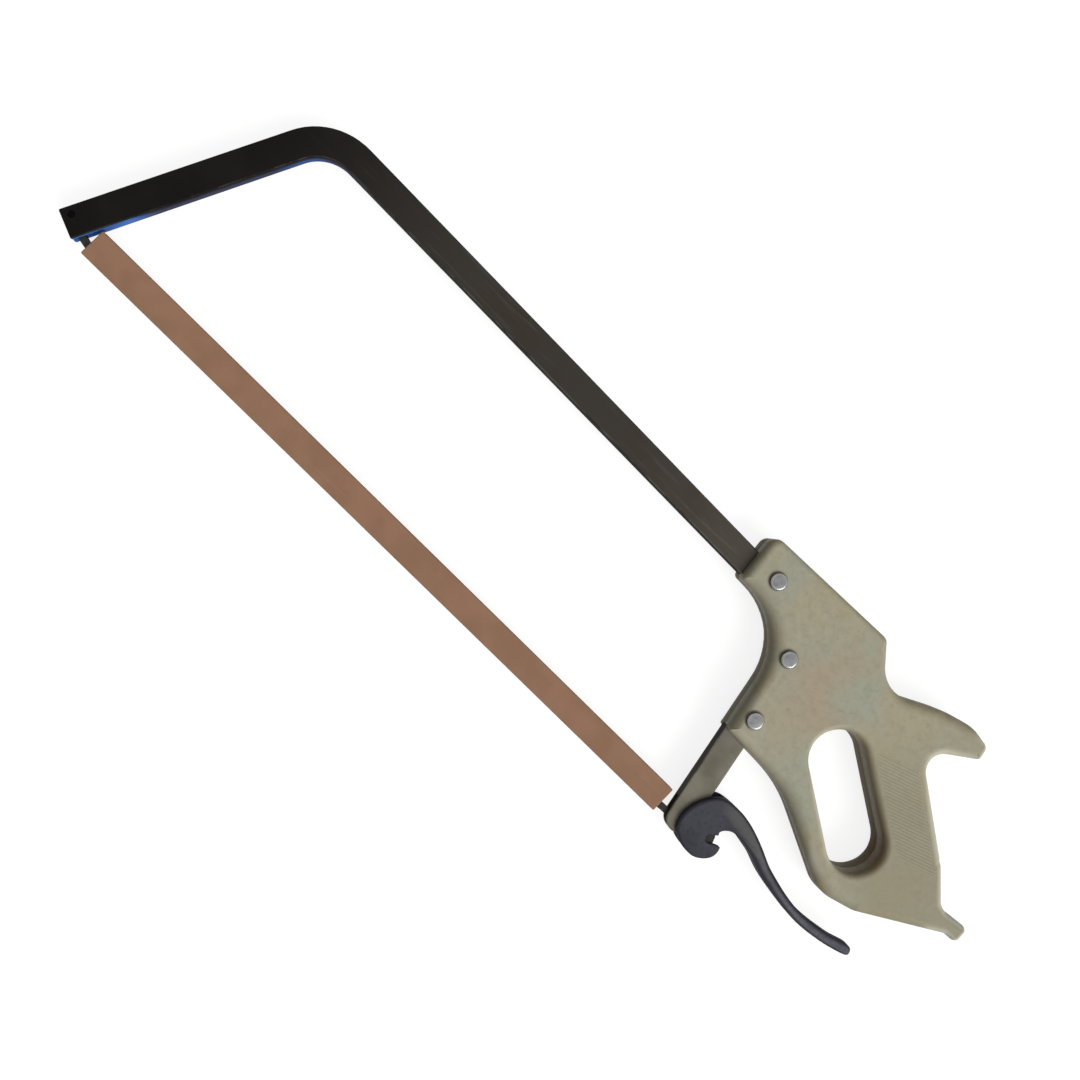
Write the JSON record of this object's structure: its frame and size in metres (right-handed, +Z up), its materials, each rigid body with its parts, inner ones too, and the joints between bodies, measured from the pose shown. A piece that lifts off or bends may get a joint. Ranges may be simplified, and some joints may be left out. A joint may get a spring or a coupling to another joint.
{
  "type": "butcher saw",
  "caption": "Butcher's bow saw: bent flat-bar bow, bolted two-part handle with hand hole and horn, toothed blade in a slip-on guard, and an over-centre scroll lever that tensions the blade.",
  "frame": {"origin": "under the middle of the saw's box, at the height of the nuts' faces that it lies on", "axes": "+X along the blade from the front of the bow to the handle, +Y from the blade to the back of the bow, +Z up, out of the side that the picture shows"},
  "size_m": [0.753, 0.1972, 0.0308],
  "materials": {
    "bow_steel": "dark blackened flat bar, worn brighter towards the handle",
    "ivory_plastic": "mottled ivory moulding with faint stains",
    "aluminium": "satin turned heads",
    "dark_steel": "dark oiled steel",
    "blade_steel": "bright ground steel",
    "brown_plastic": "matte moulded strip",
    "cast_iron": "dark grey casting"
  },
  "bodies": {
    "frame": {"bow_frame": "bow_steel", "handle_left": "ivory_plastic", "handle_right": "ivory_plastic", "grip_dowel_upper": "blade_steel", "grip_dowel_lower": "blade_steel", "saw_bolt_top": "aluminium", "saw_nut_top": "aluminium", "saw_bolt_middle": "aluminium", "saw_nut_middle": "aluminium", "saw_bolt_lower": "aluminium", "saw_nut_lower": "aluminium", "front_hook": "dark_steel", "front_hook_pin": "dark_steel", "blade": "blade_steel", "blade_pin_front": "dark_steel", "blade_pin_rear": "dark_steel"},
    "lever": {"tension_lever": "cast_iron", "lever_pivot_pin": "dark_steel"},
    "draw_link": {"draw_link": "dark_steel", "draw_link_pin": "dark_steel"},
    "guard": {"blade_guard": "brown_plastic"}
  },
  "joints": [
    {"name": "lever_swing", "type": "hinge", "parent": "frame", "child": "lever", "pos_m": [0.17855, -0.08529, 0.0154], "axis": [0, 0, 1], "range_deg": [-90, 0]},
    {"name": "draw_link_swing", "type": "hinge", "parent": "lever", "child": "draw_link", "pos_m": [0.19702, -0.0818, 0.0154], "axis": [0, 0, 1], "range_deg": [0, 63]},
    {"name": "guard_slide", "type": "slide", "parent": "frame", "child": "guard", "axis": [0, -1, 0], "range_m": [0, 0.03]}
  ],
  "couplings": [
    {"joint": "draw_link_swing", "follows": "lever_swing", "ratio": -0.7}
  ]
}
